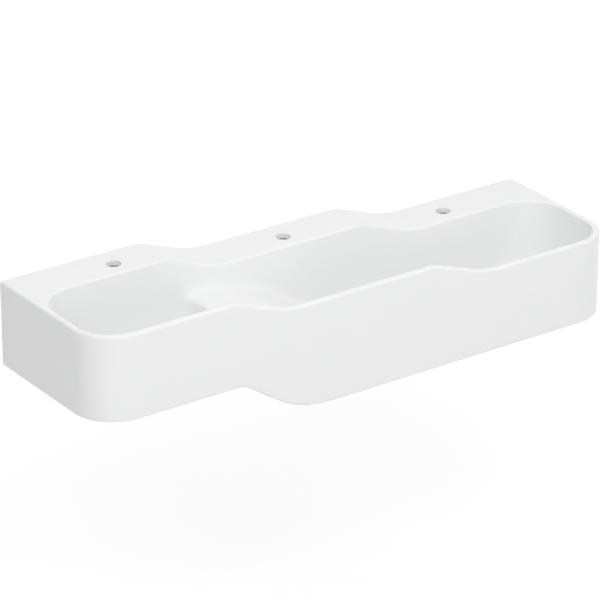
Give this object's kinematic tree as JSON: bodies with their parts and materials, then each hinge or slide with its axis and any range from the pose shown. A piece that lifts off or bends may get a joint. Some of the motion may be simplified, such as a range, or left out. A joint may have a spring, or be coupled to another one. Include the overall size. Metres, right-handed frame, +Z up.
{
  "type": "wash trough",
  "caption": "Wall-hung wash trough that steps down to the right, with a tap deck, a rounded rim, an upper basin with a push-open plug, and a weir and ramp into a long strained basin.",
  "frame": {"origin": "on the wall plane, at mid length, at the centre of the wall bolt patterns", "axes": "+X along the wall to the low end, +Y into the wall, +Z up"},
  "size_m": [1.4, 0.39, 0.349],
  "materials": {
    "mineral_casting": "satin",
    "zinc_steel": "satin",
    "brass": "satin",
    "brass_nut": "satin",
    "chrome": "polished",
    "stainless": "satin",
    "rubber": "matte",
    "white_plastic": "satin",
    "grey_plastic": "satin"
  },
  "bodies": {
    "trough": {"trough_body": "mineral_casting", "thread_inserts": "brass", "bracket_washers": "zinc_steel", "bracket_screws": "zinc_steel", "upper_waste_body": "chrome", "upper_flange_seal": "rubber", "upper_under_seal": "rubber", "upper_slip_washer": "white_plastic", "upper_lock_nut": "brass_nut", "click_cartridge": "grey_plastic", "lower_waste_body": "chrome", "lower_flange_seal": "rubber", "lower_under_seal": "rubber", "lower_slip_washer": "white_plastic", "lower_lock_nut": "brass_nut", "strainer": "stainless", "strainer_screw": "stainless", "wall_bracket_1": "zinc_steel", "wall_bracket_2": "zinc_steel", "wall_bracket_3": "zinc_steel", "wall_bracket_4": "zinc_steel", "bracket_pad_1": "rubber", "bracket_pad_2": "rubber", "bracket_pad_3": "rubber", "bracket_pad_4": "rubber"},
    "plug": {"plug_cap": "chrome", "plug_seal": "rubber", "plug_stem": "stainless"}
  },
  "joints": [
    {"name": "plug_lift", "type": "slide", "parent": "trough", "child": "plug", "axis": [0, 0, 1], "range_m": [0, 0.009]}
  ]
}
